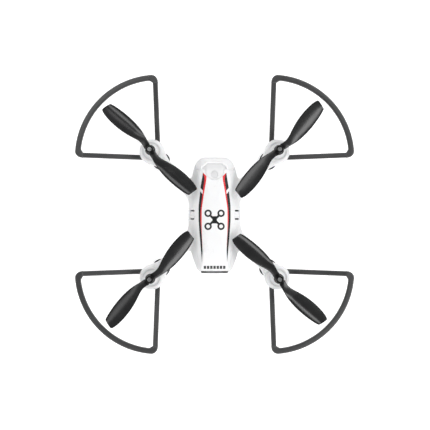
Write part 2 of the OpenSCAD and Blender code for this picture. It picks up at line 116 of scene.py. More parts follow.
def rod(a, b, c, radius, c0, c1, r):
    """A cylinder along the c axis, where a and b are measured from its centre."""
    return rmax(dist(a, b) - radius, slab(c, c0, c1), r)


def polygon_field(px, py, points):
    """Signed distance to a closed polygon in a plane, negative inside."""
    px, py = np.broadcast_arrays(px, py)
    best, inside = np.full(px.shape, np.inf), np.zeros(px.shape, bool)
    for (ax, ay), (bx, by) in zip(points, points[1:] + points[:1]):
        ex, ey = bx - ax, by - ay
        wx, wy = px - ax, py - ay
        t = np.clip((wx * ex + wy * ey) / (ex * ex + ey * ey), 0, 1)
        d = (wx - ex * t) ** 2 + (wy - ey * t) ** 2
        crosses = ((ay > py) != (by > py)) & (wx < ex * wy / (ey if abs(ey) > 1e-9 else 1e-9))
        best, inside = np.minimum(best, d), inside ^ crosses
    return np.where(inside, -1.0, 1.0) * np.sqrt(best)


def corner_xy(x, y):
    """A point seen from the nearest propeller axis: along the arm inwards, and across it."""
    ax, ay = abs(x) - ROTOR, abs(y) - ROTOR
    k = sqrt(0.5)
    return -(ax + ay) * k, (ax - ay) * k


CELL = [(i, j, k) for i in (0, 1) for j in (0, 1) for k in (0, 1)]
EDGES = [(a, b) for a in CELL for b in CELL if a < b and sum(p != q for p, q in zip(a, b)) == 1]


def gradient(field, p, step):
    g = np.empty_like(p)
    for i in range(3):
        q = p.copy()
        q[:, i] += step
        ahead = field(q[:, 0], q[:, 1], q[:, 2])
        q[:, i] -= 2 * step
        g[:, i] = (ahead - field(q[:, 0], q[:, 1], q[:, 2])) / (2 * step)
    return g


def net(field, lo, hi, h):
    """Surface of a field: a point in each grid cell that it crosses, moved onto it, with quads between."""
    axes = [np.arange(a - h, b + 2 * h, h) for a, b in zip(lo, hi)]
    x, y, z = np.meshgrid(*axes, indexing="ij", sparse=True)
    d = np.broadcast_to(field(x, y, z), [len(a) for a in axes])
    inside = d < 0
    nx, ny, nz = (n - 1 for n in inside.shape)
    count = sum(inside[i:nx + i, j:ny + j, k:nz + k].astype(np.uint8) for i, j, k in CELL)
    active = (count > 0) & (count < 8)
    index = np.full(active.shape, -1, np.int64)
    cells = np.argwhere(active)
    index[active] = np.arange(len(cells))
    total, hits = np.zeros((len(cells), 3)), np.zeros(len(cells))
    for a, b in EDGES:
        da = d[tuple((cells + a).T)].astype(float)
        db = d[tuple((cells + b).T)].astype(float)
        on = (da < 0) != (db < 0)
        t = (da[on] / (da[on] - db[on]))[:, None]
        total[on] += np.array(a) + t * (np.array(b) - np.array(a))
        hits[on] += 1
    p = np.array([a[0] for a in axes]) + h * (cells + total / hits[:, None])
    for _ in range(3):
        g = gradient(field, p, h * 0.3)
        f = field(p[:, 0], p[:, 1], p[:, 2])
        move = -g * (f / np.maximum((g * g).sum(1), 0.2))[:, None]
        length = np.linalg.norm(move, axis=1, keepdims=True)
        p += move * np.minimum(1, 0.4 * h / np.maximum(length, 1e-9))
    quads = []
    for axis in range(3):
        u, v = (axis + 1) % 3, (axis + 2) % 3
        first = np.take(inside, range(inside.shape[axis] - 1), axis)
        second = np.take(inside, range(1, inside.shape[axis]), axis)
        for flip, mask in ((False, first & ~second), (True, ~first & second)):
            e = np.argwhere(mask)
            e = e[(e[:, u] > 0) & (e[:, v] > 0)]
            du, dv = np.eye(3, dtype=int)[u], np.eye(3, dtype=int)[v]
            ring = [e - du - dv, e - dv, e, e - du]
            q = np.stack([index[tuple(c.T)] for c in ring], 1)
            quads.append(q[:, ::-1] if flip else q)
    return p, np.concatenate(quads)


# ---- making objects


def add_object(name, data):
    obj = bpy.data.objects.new(name, data)
    bpy.context.scene.collection.objects.link(obj)
    return obj


def make(name, points, faces):
    """A smooth-shaded mesh object from points in millimetres."""
    mesh = bpy.data.meshes.new(name)
    points = np.asarray(points, float) * MM
    if isinstance(faces, np.ndarray):
        mesh.vertices.add(len(points))
        mesh.vertices.foreach_set("co", points.astype(np.float32).ravel())
        mesh.loops.add(faces.size)
        mesh.loops.foreach_set("vertex_index", faces.astype(np.int32).ravel())
        mesh.polygons.add(len(faces))
        mesh.polygons.foreach_set("loop_start", np.arange(0, faces.size, faces.shape[1], dtype=np.int32))
        mesh.update(calc_edges=True)
    else:
        mesh.from_pydata([tuple(p) for p in points], [], [list(f) for f in faces])
    mesh.validate()
    for polygon in mesh.polygons:
        polygon.use_smooth = True
    return add_object(name, mesh)


def turned(points, degrees):
    a = radians(degrees)
    m = np.array([[cos(a), sin(a), 0], [-sin(a), cos(a), 0], [0, 0, 1]])
    return np.asarray(points, float) @ m


def shifted(points, x, y):
    return np.asarray(points, float) + np.array([x, y, 0.0])


def corner_point(i, along=0.0):
    """Plan position on arm i, that far inboard of its propeller axis."""
    d = ROTOR - along * sqrt(0.5)
    return [(d, d), (-d, d), (-d, -d), (d, -d)][i]


def join(parts):
    """Several (points, faces) lists as one."""
    points, faces, n = [], [], 0
    for p, f in parts:
        points.extend([tuple(q) for q in p])
        faces.extend([[n + k for k in face] for face in f])
        n += len(p)
    return np.array(points), faces


def lathe(profile, n, wave=None, closed=False):
    """Solid of revolution about Z. Its (radius, height) pairs end on the axis or, if closed, form a loop."""
    points, rows = [], []
    for r, z in profile:
        if r < 1e-6:
            rows.append([len(points)])
            points.append((0, 0, z))
            continue
        rows.append(list(range(len(points), len(points) + n)))
        for k in range(n):
            a = 2 * pi * k / n
            s = r + (wave(a, r, z) if wave else 0)
            points.append((s * cos(a), s * sin(a), z))
    faces = []
    for a, b in zip(rows, rows[1:] + rows[:1] if closed else rows[1:]):
        for k in range(n):
            m = (k + 1) % n
            if len(a) == 1 and len(b) > 1:
                faces.append([a[0], b[m], b[k]])
            elif len(b) == 1 and len(a) > 1:
                faces.append([a[k], a[m], b[0]])
            elif len(a) > 1:
                faces.append([a[k], a[m], b[m], b[k]])
    return np.array(points), faces


def softened(profile, r, steps):
    """A profile with its corners rounded to radius r where there is room."""
    out = [profile[0]]
    for before, at, after in zip(profile, profile[1:], profile[2:]):
        u = np.array(before) - np.array(at)
        v = np.array(after) - np.array(at)
        lu, lv = np.linalg.norm(u), np.linalg.norm(v)
        cosine = np.clip(u @ v / (lu * lv), -1, 1)
        if cosine < -0.995:
            out.append(at)
            continue
        reach = min(r / tan(acos(cosine) / 2), lu * 0.45, lv * 0.45)
        a, b = np.array(at) + u / lu * reach, np.array(at) + v / lv * reach
        for k in range(steps + 1):
            t = k / steps
            out.append(tuple((1 - t) ** 2 * a + 2 * t * (1 - t) * np.array(at) + t * t * b))
    return out + [profile[-1]]


# ---- fuselage form
BELLY = [(11, 55), (17, 46), (20.5, 20), (20.5, -20), (19.5, -48), (17, -61.5)]
SHOULDER = [(12, 64.2), (16.5, 62.6), (19.9, 59.1), (22.1, 54.6), (24.2, 46.6), (27.4, 24), (28.9, 4),
            (28.9, -10), (27.6, -32), (24.4, -48), (22.1, -54.8), (19.6, -61.6), (17.6, -63.9), (16.8, -64.8)]
RIDGE = [(9.5, 57.5), (14, 54), (17.5, 46), (20.5, 25), (21.5, 5), (21.2, -15), (19, -38), (16.2, -63.5)]
DECK = [(8, 52), (12.9, 45.1), (15.3, 30.6), (17.8, 9.8), (17.8, -6.7), (16.9, -20), (15.2, -40), (13.8, -56)]
CROWN = [(7.5, 30), (10, 12), (10.5, -8), (9.5, -34)]
LEVELS = [(13.5, BELLY), (26.0, SHOULDER), (30.0, SHOULDER), (39.0, RIDGE), (41.5, DECK), (46.5, CROWN),
          (48.5, [(x * 0.45, y * 0.62) for x, y in CROWN])]
N_PHI, Z_LOW, Z_STEP, N_Z = 1441, 8.0, 0.2, 211


def polar(outline, phi):
    """Distance from the centre to an outline, for directions phi from the nose round to the tail."""
    points = [(0, outline[0][1])] + outline + [(0, outline[-1][1])]
    out = np.full(len(phi), 0.0)
    s, c = np.sin(phi), np.cos(phi)
    for (ax, ay), (bx, by) in zip(points, points[1:]):
        ex, ey = bx - ax, by - ay
        den = s * ey - c * ex
        den = np.where(abs(den) < 1e-9, 1e-9, den)
        r = (ax * ey - ay * ex) / den
        t = (ax * c - ay * s) / den
        hit = (r > 0) & (t >= -1e-6) & (t <= 1 + 1e-6)
        out = np.where(hit, np.maximum(out, r), out)
    return out


def blur(table, axis, sigma):
    """Gaussian smoothing of a table along one axis."""
    half = int(3 * sigma) + 1
    k = np.exp(-0.5 * (np.arange(-half, half + 1) / sigma) ** 2)
    k /= k.sum()
    padded = np.pad(table, [(half, half) if a == axis else (0, 0) for a in (0, 1)],
                    mode="reflect" if axis == 0 else "edge")
    return np.apply_along_axis(lambda row: np.convolve(row, k, "valid"), axis, padded)


def body_tables():
    phi = np.linspace(0, pi, N_PHI)
    heights = Z_LOW + Z_STEP * np.arange(N_Z)
    levels = np.array([polar(o, phi) for _, o in LEVELS])
    z = np.array([v for v, _ in LEVELS])
    low_slope = (levels[1] - levels[0]) / (z[1] - z[0])
    table = np.empty((N_PHI, N_Z))
    for j, h in enumerate(heights):
        k = int(np.clip(np.searchsorted(z, h) - 1, 0, len(z) - 2))
        t = (h - z[k]) / (z[k + 1] - z[k])
        between = levels[k] + (levels[k + 1] - levels[k]) * t
        table[:, j] = between if t >= 0 else levels[0] + low_slope * (h - z[0])
    table = np.maximum(table, 1.0)
    table = blur(blur(table, 1, 3.0), 0, 5.0)
    slope_phi = np.gradient(table, phi, axis=0) / table
    slope_z = np.gradient(table, heights, axis=1)
    return table, 1 / np.sqrt(1 + slope_phi ** 2 + slope_z ** 2)


BODY_R, BODY_N = body_tables()


def hull(x, y, z):
    """The closed outer form of the fuselage."""
    ax = abs(x)
    r = dist(ax, y)
    u = np.arctan2(ax, y) * ((N_PHI - 1) / pi)
    v = np.clip((z - Z_LOW) / Z_STEP, 0, N_Z - 1.001)
    i = np.clip(u.astype(int), 0, N_PHI - 2)
    j = v.astype(int)
    fu, fv = u - i, v - j
    reach = ((BODY_R[i, j] * (1 - fu) + BODY_R[i + 1, j] * fu) * (1 - fv)
             + (BODY_R[i, j + 1] * (1 - fu) + BODY_R[i + 1, j + 1] * fu) * fv)
    side = (r - reach) * BODY_N[i, j]
    crown = z - 46.45 + 0.0022 * ax * ax + 0.00022 * (y + 4) ** 2
    return smax(smax(side, crown, 4.0), 13.5 - z, 3.0)


ARM_AT = [0, 4.2, 9, 14, 19, 24, 30, 40, 50]
ARM_HALF = [14.1, 13.4, 11.2, 9.0, 7.4, 7.1, 7.5, 8.0, 8.4]
ARM_MID, WEB_R = 28.0, 6.5


def arms(x, y, z):
    """The four arms without their pods, webbed into the fuselage, with rounded top edges and a low spine."""
    s, t = corner_xy(x, y)
    beam = every(abs(t) - np.interp(s, ARM_AT, ARM_HALF), -s)
    plan = -rmax(-beam, -hull(x, y, ARM_MID), WEB_R)
    spine = 0.8 * np.exp(-(t / 2.6) ** 2)
    top = z - (ARM_TOP - 0.8 + spine)
    return smax(smax(plan, top, 5.0), ARM_LOW - z, 1.6)


POD = [(-20, ARM_LOW), (13.4, ARM_LOW), (14.1, 22.2), (14.1, 29), (12.3, 33.9), (11.4, 34.5), (9.7, 34.6),
       (9.2, 33.4), (6.0, 33.4), (5.2, 36.6), (-20, 36.6)]


def pods(x, y, z):
    s, t = corner_xy(x, y)
    return polygon_field(dist(s, t), z, POD) - 0.1


def outer(x, y, z):
    """Fuselage, arms and pods as one smooth solid."""
    return smin(smin(hull(x, y, z), arms(x, y, z), 4.0), pods(x, y, z), 1.2)


def hood_plan(x, y, gap):
    """Nose region in plan: everything ahead of the nose seam and inside the hood's circle."""
    hood = smin(NOSE_SEAM + gap - y, dist(x, y - HOOD_Y) - (HOOD_R - gap), 4.0)
    return every(hood, abs(x) - 30)


def deck_edge(y):
    """Half width of the canopy panel."""
    return np.interp(y, [p[1] for p in DECK[::-1]], [p[0] for p in DECK[::-1]])


def canopy_plan(x, y, gap):
    side = (abs(x) - deck_edge(y) + gap) * 0.98
    tail = -56 + gap - y
    hood = HOOD_R + gap - dist(x, y - HOOD_Y)
    return rmax(rmax(side, tail, 3.0), hood, 0.3)


def cavities(x, y, z):
    """Room inside the fuselage, arms and pods."""
    s, t = corner_xy(x, y)
    m, rho = s - GEAR_DIST, dist(s, t)
    inner = hull(x, y, z) + WALL
    channel = block(s, t, z, GEAR_DIST, GEAR_DIST + 58, -4.6, 4.6, ARM_LOW + WALL, ARM_TOP - 2.2, 0.6)
    well = every(rho - 12.6, abs(z - 27.0) - 4.6)
    can = every(dist(m, t) - 5.0, abs(z - 28.5) - 3.1)
    return np.minimum(np.minimum(inner, channel), np.minimum(well, can))


WINDOW_HALF, TAB_HALF = 5.5, 3.8


def latch_window(x, y, z):
    return block(abs(x), y, z, 20, 32, LATCH_Y - WINDOW_HALF, LATCH_Y + WINDOW_HALF, 30.6, 36.8, 0.5)


def tail_opening(x, y, z):
    return block(x, y, z, -15.9, 15.9, -80, -54.5, 16.7, 35.0, 0.8)


def upper_shell(x, y, z):
    rho = dist(*corner_xy(x, y))
    d = smax(outer(x, y, z), SEAM + SEAM_GAP - z, 0.7)
    return carve(d, (cavities(x, y, z), 0.4), (every(rho - 2.4, 20 - z), 0.5),
                 (smax(hood_plan(x, y, LAP), 30.0 - z, 0.4), 0.35),
                 (smax(canopy_plan(x, y, LAP), 39.0 - z, 0.4), 0.35),
                 (every(nose_groove(x, y, z), 30.5 - z), 0.3),
                 (latch_window(x, y, z), 0.6), (tail_opening(x, y, z), 0.6))


def cradle(x, y, z, r, half):
    return every(dist(y - TILT_Y, z - TILT_Z) - r, abs(x) - half, y - 58.5, 40 - y)


def lower_shell(x, y, z):
    s, t = corner_xy(x, y)
    m = s - GEAR_DIST
    rho, mu = dist(s, t), dist(m, t)
    above = z - (SEAM - SEAM_GAP)
    d = smax(outer(x, y, z), above, 0.7)
    grooves = every(abs(np.mod(y + 4, 8) - 4) - 0.8, abs(y - 12) - 28)
    vents = every(grooves, abs(abs(x) - 11.5) - 4.5, z - 14.2)
    d = carve(d, (vents, 0.8), (cavities(x, y, z), 0.4))
    d = np.minimum(d, every(rho - 3.6, abs(z - 23.2) - 2.2))
    d = smin(d, every(cradle(x, y, z, 10.5, 12.5), hull(x, y, z), above), 0.6)
    outward = block(-s, t, z, 12.4, 18, -4.2, 4.2, ARM_LOW + WALL, ARM_LOW + WALL + 3.4, 0.5)
    return carve(d, (rho - 2.4, 0.4), (outward, 0.4), (mu - 4.35, 0.4),
                 (block(m, t, z, 3.4, 6.2, -1.7, 1.7, -5, 60, 0.2), 0.3), (cradle(x, y, z, 9.1, 11.5), 0.5),
                 (block(x, y, z, -6.3, 6.3, TILT_Y, 80, -5, 25, 1.0), 0.6), (tail_opening(x, y, z), 0.6))


LEDGE = [(-16.6, 48.6), (-15.2, 54.2), (-8.6, 59.3), (8.6, 59.3), (15.2, 54.2), (16.6, 48.6)]
RECESS = [(-14.0, 50.2), (-13.2, 52.9), (-7.9, 56.9), (7.9, 56.9), (13.2, 52.9), (14.0, 50.2)]
LEDGE_Z = 39.8
BALL_R, DISH_R, DISH_DEPTH, DISH_TOP = 36.0, 6.6, 0.9, 43.7


def from_button(x, y):
    """Distance in plan from the power button's axis."""
    return dist(x, y - BUTTON_Y)


def nose_groove(x, y, z):
    """Shut line across each side of the nose."""
    ring = dist(y - NOSE_SEAM, hull(x, y, z) - PROUD) - 0.55
    return every(ring, 17.5 - abs(x), abs(x) - 30)


def hood_form(x, y, z):
    """The fuselage with a flat ledge round the front of the hood."""
    ledge = every(polygon_field(x, y, LEDGE), z - LEDGE_Z)
    return smin(hull(x, y, z), ledge, 0.9)


def inlay_plan(x, y):
    """The hood's recess in plan: its front polygon and the round part behind it."""
    circle = dist(x, y - HOOD_Y) - (HOOD_R - 1.0)
    front = polygon_field(x, y, RECESS)
    return smin(front, every(circle, y - 51.5), 1.2)


def button_dish(x, y, z):
    """The round dish in the inlay, with the button's hole."""
    off = from_button(x, y)
    ball = dist(off, z - (DISH_TOP - DISH_DEPTH + BALL_R)) - BALL_R
    return smin(smax(ball, off - DISH_R, 0.8), off - (BUTTON_R + 0.06), 0.2)


def nose_cap(x, y, z):
    """Nose hood: a ledge, and behind it a recess for the inlay, with the button's hole."""
    form = hood_form(x, y, z) - PROUD
    d = smax(smax(form, -hull(x, y, z) - 2.4, 0.5), hood_plan(x, y, 0), 0.35)
    d = smax(d, 30.1 - z, 0.4)
    d = cut(d, every(inlay_plan(x, y), -(hull(x, y, z) + 1.2)), 0.5)
    d = cut(d, nose_groove(x, y, z), 0.3)
    return cut(d, from_button(x, y) - (BUTTON_R + 0.3), 0.2)


def nose_inlay(x, y, z):
    """Plate that lies in the hood's recess."""
    form = hull(x, y, z)
    lower = np.clip((y - 47.5) / 4.5, 0, 1)
    plate = smax(form + 0.08 + 0.54 * lower * lower * (3 - 2 * lower), -form - 1.5, 0.3)
    plate = smax(plate, inlay_plan(x, y) + 0.12, 0.3)
    return cut(plate, button_dish(x, y, z), 0.6)


def canopy_panel(x, y, z):
    form = hull(x, y, z)
    d = smax(smax(form - PROUD, -form - WALL, 0.5), canopy_plan(x, y, 0), 0.35)
    return smax(d, 39.0 - z, 0.3)


def latch_shade_backing(x, y, z):
    """Shelf inside, under a latch window. Its colour is painted shade seen through the window's slots: light
    grey on the left, black on the right.
    """
    return block(abs(x), y, z, 17, 27.2, LATCH_Y - 6.6, LATCH_Y + 6.6, 28.2, 29.7, 0.4)


def latch_tab(x, y, z):
    """A latch tab with three grip ribs."""
    d, off = hull(x, y, z), y - LATCH_Y
    ribs = 0.21 * np.cos(off * (2 * pi / 2.1))
    face = smax(d + 0.1 - np.where(abs(off) < 3.2, ribs, 0), -d - 2.0, 0.5)
    plate = block(abs(x), y, z, 22.6, 32, LATCH_Y - TAB_HALF, LATCH_Y + TAB_HALF, 30.7, 36.7, 0.4)
    return smax(face, plate, 0.4)


# ---- guards, legs and small fields
GUARD_C, GUARD_R, GUARD_W = 63.7, 92.3, 6.2
ROD_X, ROD_W, GUARD_T, GUARD_Z = 66.2, 5.7, 3.4, 41.0
BRACKET_Z = 17.4


def sector(x, y, r, edge, rc):
    rho = dist(x - GUARD_C, y - GUARD_C) - r
    return rmax(rmax(edge - x, rho, rc), edge - y, rc)


def guard_rod(x, y, z):
    """A straight rod that climbs from its flat foot to the ring."""
    low = np.interp(y, [81, 86.1, 148, 160], [BRACKET_Z, BRACKET_Z, 39.3, 39.3])
    high = np.interp(y, [81, 85.5, 148, 160], [21.0, 21.0, 42.7, 42.7])
    mid, half = (low + high) / 2, (high - low) / 2
    across = abs(x - ROD_X) - ROD_W / 2
    up = (abs(z - mid) - half) * 0.945
    return rmax(rmax(across, up, 1.1), abs(y - 114.5) - 33.5, 0.8)


def guard(x, y, z):
    band = smax(sector(x, y, GUARD_R, ROD_X - ROD_W / 2, 7.8),
                -sector(x, y, GUARD_R - GUARD_W, ROD_X + ROD_W / 2, 5.5), 0.3)
    ring = rmax(band, abs(z - GUARD_Z) - GUARD_T / 2, 1.1)
    cutoff = ROD_X + ROD_W / 2 + 1
    keep_out = np.minimum(every(x - cutoff, y - 147.5), every(y - cutoff, x - 147.5))
    ring = every(ring, -keep_out)
    d = smin(ring, np.minimum(guard_rod(x, y, z), guard_rod(y, x, z)), 0.8)
    ax, ay = x - ROTOR, y - ROTOR
    rho, angle = dist(ax, ay), np.arctan2(ay, ax)
    swing = (abs(angle - radians(45)) - radians(69)) * np.maximum(rho, 4)
    clamp = rmax(rmax(abs(rho - 11.3) - 2.3, swing, 0.8), abs(z - 19.2) - 1.78, 0.5)
    d = smin(d, clamp, 1.0)
    for a in (5, 85):
        sx, sy = 11.25 * cos(radians(a)), 11.25 * sin(radians(a))
        d = cut(d, dist(ax - sx, ay - sy) - 1.05, 0.3)
    return smax(d, -every(rho - 14.15, 20.98 - z, z - 27), 0.2)


LEG = [(-9, 3.0), (6.4, 3.0), (6.6, 7), (8, 13), (10.5, 18.4), (10.5, 20.96), (-9, 20.96)]


def leg(x, y, z):
    """A leg about its own axis, X inboard, with fine flutes, the motor's bore and two screw wells."""
    rho, angle = dist(x, y), np.arctan2(y, x)
    d = polygon_field(rho, z, LEG)
    flute = 0.42 * np.maximum(np.cos(angle * 16), 0) ** 2
    fade = np.clip((z - 4.2) / 1.5, 0, 1) * np.clip((15.5 - z) / 2, 0, 1)
    d = d + flute * fade
    d = smax(d, rho - 10.45, 0.6)
    groove = dist(rho - 10.6, z - 19.2) - 0.55
    d = cut(d, groove, 0.4)
    d = cut(d, every(rho - 4.32, 6 - z), 0.3)
    d = cut(d, block(x, y, z, 3.0, 6.1, -1.6, 1.6, 6, 40, 0.3), 0.3)
    for side in (-1, 1):
        w = dist(x, y - side * 7.4)
        d = cut(d, every(w - 2.05, z - 17.0), 0.35)
        d = cut(d, w - 1.06, 0.2)
    return d


def camera_housing(x, y, z):
    """Barrel across the nose with a snout for the lens, thin joint lines and a bore for the glass."""
    u, v = y - TILT_Y, z - TILT_Z
    rho = dist(u, v)
    drum = rmax(rho - 6.75, abs(x) - 9.05, 0.9)
    line = dist(rho - 6.8, abs(x) - 6.4) - 0.38
    drum = cut(drum, line, 0.3)
    snout = rod(x, v, u, 4.6, 0, 9.0, 0.5)
    collar = rod(x, v, u, 5.3, 4, 7.2, 0.5)
    d = smin(drum, smin(snout, collar, 0.3), 1.0)
    d = cut(d, every(rho - 1.52, 2.0 - abs(x)), 0.3)
    return cut(d, every(dist(x, v) - 3.42, 5.0 - u), 0.3)


def battery_pack(x, y, z):
    """A shrink-wrapped pack, slightly crowned, with the wrap's flat seam along its sides."""
    crown = 0.25 * (1 - np.clip((x / 14.4) ** 2, 0, 1))
    top = every(z - (33.7 + crown), 17.35 - z)
    d = rmax(rmax(abs(x) - 14.25, top, 1.8), abs(y + 29.9) - 29.2, 1.2)
    seam = block(abs(x), y, z, 13.8, 14.4, -57, -3, 25.3, 26.1, 0.2)
    return smin(d, seam, 0.4)


def battery_end_cap(x, y, z):
    """End cap with a bowed outer face, a finger recess and grip ridges in it."""
    bow = -66.75 + 0.0018 * x * x
    d = rmax(abs(x) - 15.5, every(z - 34.6, 17.05 - z), 2.2)
    d = rmax(d, every(bow - y, y + 59.05), 1.1)
    d = cut(d, block(x, y, z, -8.2, 8.2, -75, -64.8, 21.4, 30.2, 1.4), 0.8)
    ridges = block(x, y, np.mod(z - 22.6, 2.2) - 1.1, -6.6, 6.6, -65.8, -64.4, -0.45, 0.45, 0.3)
    return smin(d, every(ridges, abs(z - 25.8) - 3.3), 0.3)


# ---- materials


class Maker:
    """Short names for the nodes that the finishes share."""

    def __init__(self, name):
        self.mat = bpy.data.materials.new(name)
        self.mat.use_nodes = True
        self.tree = self.mat.node_tree
        self.tree.nodes.clear()
        self.bsdf = self.node("ShaderNodeBsdfPrincipled")
        self.out = self.node("ShaderNodeOutputMaterial", {0: self.bsdf.outputs[0]})
        self.coord = self.node("ShaderNodeTexCoord").outputs["Object"]

    def feed(self, socket, value):
        """Links a socket to another one, or gives it a plain value."""
        if isinstance(value, bpy.types.NodeSocket):
            self.tree.links.new(value, socket)
        else:
            socket.default_value = value

    def node(self, kind, inputs=None, **settings):
        n = self.tree.nodes.new(kind)
        for key, value in settings.items():
            setattr(n, key, value)
        for key, value in (inputs or {}).items():
            self.feed(n.inputs[key], value)
        return n

    def along(self, axis):
        """The object's own coordinate along X, Y or Z."""
        return self.node("ShaderNodeSeparateXYZ", {0: self.coord}).outputs[axis]

    def math(self, operation, *values):
        return self.node("ShaderNodeMath", dict(enumerate(values)), operation=operation).outputs[0]

    def noise(self, scale, detail=3.0, rough=0.5, stretch=None):
        vector = self.coord
        if stretch:
            vector = self.node("ShaderNodeMapping", {"Scale": stretch, "Vector": vector}).outputs[0]
        inputs = {"Scale": scale, "Detail": detail, "Roughness": rough, "Vector": vector}
        return self.node("ShaderNodeTexNoise", inputs).outputs["Fac"]

    def span(self, value, a, b, c, d):
        return self.node("ShaderNodeMapRange", dict(enumerate((value, a, b, c, d)))).outputs[0]

    def mix(self, factor, a, b):
        n = self.node("ShaderNodeMix", data_type="RGBA")
        sockets = [s for s in n.inputs if s.enabled]
        for socket, value in zip(sockets, (factor, a, b)):
            self.feed(socket, value if isinstance(value, bpy.types.NodeSocket) else (*value, 1.0))
        return [s for s in n.outputs if s.enabled][0]

    def blend(self, cloud, a, b):
        """Two colours in patches that follow a noise."""
        return self.mix(self.span(cloud, 0.3, 0.7, 0.0, 1.0), a, b)

    def edges(self, lift):
        """1 along convex edges, from the mesh's own curvature."""
        geometry = self.node("ShaderNodeNewGeometry")
        return self.span(geometry.outputs["Pointiness"], 0.5 + lift, 0.5 + 3 * lift, 0.0, 1.0)

    def put(self, name, value):
        self.feed(self.bsdf.inputs[name], value)

    def colour(self, value):
        self.put("Base Color", value)

    def rough(self, value):
        self.put("Roughness", value)

    def grain(self, height, distance, strength=0.6):
        """Relief on the surface from a pattern. Its depth, distance, is in metres."""
        bump = self.node("ShaderNodeBump", {"Distance": distance, "Strength": strength, "Height": height})
        self.put("Normal", bump.outputs[0])


def moulded(name, colour, rough, vary, grain, grain_depth, mottle, wear=0.0, wear_colour=None,
            specular=0.5, subsurface=0.0):
    """Moulded plastic or rubber: mottled colour, uneven gloss, a fine grain and paler edges."""
    m = Maker(name)
    base = np.array(colour)
    tone = m.blend(m.noise(38.0, 4.0, 0.6), base * (1 - mottle), np.minimum(base * (1 + mottle), 1))
    if wear:
        patchy = m.span(m.noise(300.0, 3.0, 0.6), 0.35, 0.75, 0.0, wear)
        tone = m.mix(m.math("MULTIPLY", m.edges(0.02), patchy), tone,
                     wear_colour or np.minimum(base * 1.6 + 0.03, 1))
    m.colour(tone)
    m.rough(m.span(m.noise(70.0, 5.0, 0.65), 0.25, 0.75, rough - vary, rough + vary))
    m.grain(m.noise(grain, 2.0, 0.6), grain_depth)
    m.put("Specular IOR Level", specular)
    m.put("Subsurface Weight", subsurface)
    m.put("Subsurface Scale", 0.002)
    return m.mat


def metal(name, colour, rough, stretch=(1, 1, 1)):
    """Metal with fine turned or drawn scratches and a little tarnish."""
    m = Maker(name)
    base = np.array(colour)
    m.colour(m.mix(m.span(m.noise(220.0, 4.0, 0.6), 0.3, 0.75, 0.0, 1.0), base, base * 0.78))
    lines = m.noise(900.0, 3.0, 0.6, stretch)
    m.rough(m.span(lines, 0.3, 0.7, rough - 0.08, rough + 0.12))
    m.grain(lines, 0.000008, 0.5)
    m.put("Metallic", 1.0)
    return m.mat


def board(name):
    """Solder-mask green with darker copper traces and pads under it."""
    m = Maker(name)
    wave = m.node("ShaderNodeTexVoronoi", {"Scale": 260.0, "Vector": m.coord}, feature="DISTANCE_TO_EDGE")
    trace = m.span(wave.outputs["Distance"], 0.05, 0.09, 1.0, 0.0)
    cloud = m.noise(90.0)
    green = m.blend(cloud, (0.010, 0.085, 0.036), (0.014, 0.115, 0.048))
    m.colour(m.mix(trace, green, (0.03, 0.19, 0.07)))
    m.rough(m.span(cloud, 0.3, 0.7, 0.25, 0.42))
    m.grain(trace, 0.00003, 0.5)
    return m.mat


def clear(name, colour, rough=0.12, ior=1.49):
    """Clear or tinted plastic and glass."""
    m = Maker(name)
    cloud = m.noise(160.0)
    m.colour(m.blend(cloud, colour, np.array(colour) * 0.92))
    m.rough(m.span(cloud, 0.3, 0.7, rough * 0.6, rough * 1.5))
    m.grain(m.noise(1200.0), 0.000004, 0.4)
    m.put("Transmission Weight", 0.75)
    m.put("IOR", ior)
    return m.mat


def ink(name, colour, faded, y_full, y_gone):
    """Printed ink on the canopy that thins out towards the tail, with a trace of the print's grain."""
    m = Maker(name)
    stripes = m.span(m.math("ABSOLUTE", m.along("X")), 12.4 * MM, 12.7 * MM, 0.0, 1.0)
    fade = m.math("MULTIPLY", m.span(m.along("Y"), y_full * MM, y_gone * MM, 0.0, 1.0), stripes)
    speck = m.noise(1500.0, 2.0)
    m.colour(m.mix(fade, m.blend(speck, colour, np.array(colour) * 0.86), faded))
    m.rough(m.span(m.noise(120.0), 0.3, 0.7, 0.24, 0.36))
    m.grain(speck, 0.000006, 0.5)
    return m.mat


def inlay_painted_shade_finish(name):
    """Satin white with painted shade for the hood's recess: greyer than the shell, and greyer still at the
    front.
    """
    m = Maker(name)
    cloud = m.noise(40.0, 4.0, 0.6)
    pale = m.blend(cloud, (0.775, 0.777, 0.783), (0.795, 0.797, 0.803))
    grey = m.blend(cloud, (0.70, 0.702, 0.708), (0.715, 0.717, 0.723))
    # Painted shade: the front of the recess is mixed to the greyer tone.
    m.colour(m.mix(m.span(m.along("Y"), 48 * MM, 52.5 * MM, 0.0, 1.0), pale, grey))
    m.rough(m.span(m.noise(70.0, 5.0, 0.65), 0.25, 0.75, 0.26, 0.36))
    m.grain(m.noise(2400.0, 2.0, 0.6), 0.00001)
    return m.mat


def blade_finish(name):
    """Glossy black moulding, deeper black and less shiny round the hub."""
    m = Maker(name)
    offsets = [m.math("SUBTRACT", m.math("ABSOLUTE", m.along(axis)), ROTOR * MM) for axis in "XY"]
    radius = m.math("SQRT", m.math("ADD", *[m.math("MULTIPLY", off, off) for off in offsets]))
    away = m.span(radius, 5.3 * MM, 7.5 * MM, 0.0, 1.0)
    tone = m.blend(m.noise(38.0, 4.0, 0.6), (0.0095, 0.0097, 0.0102), (0.0125, 0.0127, 0.0132))
    m.colour(m.mix(away, (0.002, 0.002, 0.0022), tone))
    m.rough(m.span(m.noise(70.0, 5.0, 0.65), 0.25, 0.75, 0.17, 0.27))
    m.grain(m.noise(1500.0, 2.0, 0.6), 0.000008)
    m.put("Specular IOR Level", m.span(away, 0.0, 1.0, 0.3, 0.75))
    return m.mat


